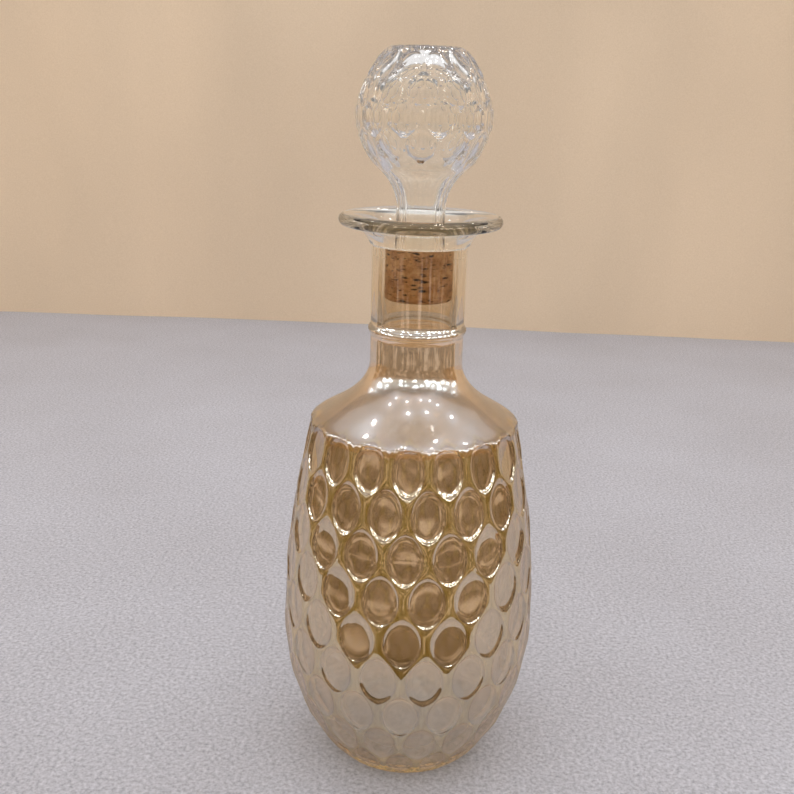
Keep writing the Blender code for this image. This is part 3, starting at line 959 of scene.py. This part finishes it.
def room_side():
    """Dim brown surroundings past the table's front edge, with lamps above. Only reflections see them."""
    n = Nodes("dim_room")
    point = n.object_point()
    blot = n.noise(point, 11.0, 2.0, 0.5)
    dim = [(0.42, (0.015, 0.009, 0.006)), (0.50, (0.07, 0.045, 0.03))]
    lit = [(0.55, (0.28, 0.18, 0.12)), (0.62, (0.60, 0.42, 0.30))]
    shade = n.ramp(blot, dim + lit)
    lamps = n.add("ShaderNodeTexVoronoi", {"Vector": point, "Scale": 9.0}).outputs[0]
    glow = n.ramp(lamps, [(0.28, (11.0, 10.6, 10.0)), (0.38, (0.9, 0.8, 0.68))])
    shade = n.mix(n.spread(n.height(point), LAMPS_FROM, LAMPS_FULL), shade, glow)
    n.output(n.add("ShaderNodeEmission", {"Color": shade, "Strength": 1.0}).outputs[0])
    skin = Skin()
    turns = [ROOM_SPREAD * (2 * i / ROOM_STEPS - 1) for i in range(ROOM_STEPS + 1)]
    rows = []
    for share in (0.0, 0.2, 0.4, 0.7, 1.0):
        row = []
        for turn in turns:
            near = TABLE_SIDE / max(abs(math.sin(turn)), 0.01)
            if math.cos(turn) > 0.01:
                near = min(near, TABLE_EDGE / math.cos(turn))
            row.append(turned(near + (ROOM_RADIUS - near) * share, ROOM_FLOOR, turn))
        rows.append(row)
    for height in (0.1, 0.2, 0.3, 0.45, 0.6):
        rows.append([turned(ROOM_RADIUS, height, turn) for turn in turns])
    skin.grid(rows, False)
    made = skin.build("room_side")
    made.data.materials.append(n.made)
    made.visible_camera = False
    made.visible_diffuse = False
    made.visible_transmission = False
    made.visible_shadow = False


LIGHT_TARGET = Vector((0.0, 0.0, 0.13))
CEILING_SIZE = 2.4
SPOT_SIZE = 0.07
SPOT_POWER = 0.35
SPOT_HEIGHT = 1.35
SPOT_SCATTER = 0.09  # how far a spot may stand from its place in the grid


def area_light(name, place, size, power, colour, shape="SQUARE"):
    """One soft lamp that faces the middle of the decanter."""
    lamp = bpy.data.lights.new(name, "AREA")
    lamp.shape = shape
    lamp.size = size
    lamp.energy = power
    lamp.color = colour
    made = bpy.data.objects.new(name, lamp)
    made.location = place
    made.rotation_euler = (LIGHT_TARGET - Vector(place)).to_track_quat("-Z", "Y").to_euler()
    bpy.context.scene.collection.objects.link(made)
    return made


def lighting():
    """A broad soft ceiling light, one like it that shines through the glass, and small glint lights."""
    area_light("ceiling_light", (0.0, 0.10, 1.45), CEILING_SIZE, 11.0, (1.0, 0.97, 0.97))
    through = area_light(
        "light_through_glass", (0.0, 0.10, 1.46), CEILING_SIZE, 7.4, (1.0, 0.94, 0.88)
    )
    through.visible_camera = False
    through.visible_glossy = False
    through.visible_transmission = False
    glass = bpy.data.collections.new("no_shadow_from_glass")
    for piece in (vessel, globe):
        glass.objects.link(piece)
    for member in glass.collection_objects:
        member.light_linking.link_state = "EXCLUDE"
    through.light_linking.blocker_collection = glass
    rng = random.Random(3)
    for row in range(4):
        for column in range(4):
            across = -0.60 + 0.40 * column + rng.uniform(-SPOT_SCATTER, SPOT_SCATTER)
            deep = -0.55 + 0.42 * row + rng.uniform(-SPOT_SCATTER, SPOT_SCATTER)
            place = (across, deep, SPOT_HEIGHT)
            area_light(f"spot_{row}_{column}", place, SPOT_SIZE, SPOT_POWER, (1.0, 0.98, 0.97), "DISK")
    n = Nodes("room", world=True)
    shade = n.add("ShaderNodeBackground", {"Color": (0.50, 0.48, 0.46, 1.0), "Strength": 0.52})
    n.add("ShaderNodeOutputWorld", {"Surface": shade.outputs[0]})
    bpy.context.scene.world = n.made


CAMERA_DISTANCE = 0.3400
CAMERA_HEIGHT = 0.2471
CAMERA_SIDE = math.radians(1.8)
CAMERA_YAW = math.radians(1.11)
CAMERA_PITCH = math.radians(17.02)
CAMERA_ROLL = math.radians(1.63)
CAMERA_LENS = 43.39


def camera():
    """The camera in front of the decanter, a little above its shoulder and looking down."""
    place = Vector((
        CAMERA_DISTANCE * math.sin(CAMERA_SIDE),
        -CAMERA_DISTANCE * math.cos(CAMERA_SIDE),
        CAMERA_HEIGHT,
    ))
    level = Matrix.Rotation(CAMERA_YAW, 3, "Z") @ Vector((-place.x, -place.y, 0.0)).normalized()
    forward = level * math.cos(CAMERA_PITCH) - Vector((0.0, 0.0, math.sin(CAMERA_PITCH)))
    right = forward.cross(Vector((0.0, 0.0, 1.0))).normalized()
    up = right.cross(forward)
    tilted_right = right * math.cos(CAMERA_ROLL) + up * math.sin(CAMERA_ROLL)
    tilted_up = up * math.cos(CAMERA_ROLL) - right * math.sin(CAMERA_ROLL)
    data = bpy.data.cameras.new("camera")
    data.lens = CAMERA_LENS
    data.sensor_width = 36.0
    data.clip_start = 0.01
    made = bpy.data.objects.new("camera", data)
    made.matrix_world = Matrix((
        (tilted_right.x, tilted_up.x, -forward.x, place.x),
        (tilted_right.y, tilted_up.y, -forward.y, place.y),
        (tilted_right.z, tilted_up.z, -forward.z, place.z),
        (0.0, 0.0, 0.0, 1.0),
    ))
    bpy.context.scene.collection.objects.link(made)
    bpy.context.scene.camera = made


# ---- Everything together ----------------------------------------------------------------------
camera()
vessel = decanter_body()
vessel.data.materials.append(lustre_glass())
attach(vessel, "decanter")
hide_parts("decanter_body")

globe = stopper()
globe.data.materials.append(clear_glass())
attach(globe, "stopper_assembly")
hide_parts("stopper")

plug = cork()
plug.data.materials.append(natural_cork())
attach(plug, "stopper_assembly")
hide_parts("cork")

stage()
room_side()
lighting()

scene = bpy.context.scene
scene.view_settings.view_transform = "Standard"
scene.cycles.max_bounces = 24
scene.cycles.transmission_bounces = 24
scene.cycles.glossy_bounces = 12
scene.cycles.sample_clamp_indirect = 6.0
scene.cycles.use_denoising = True
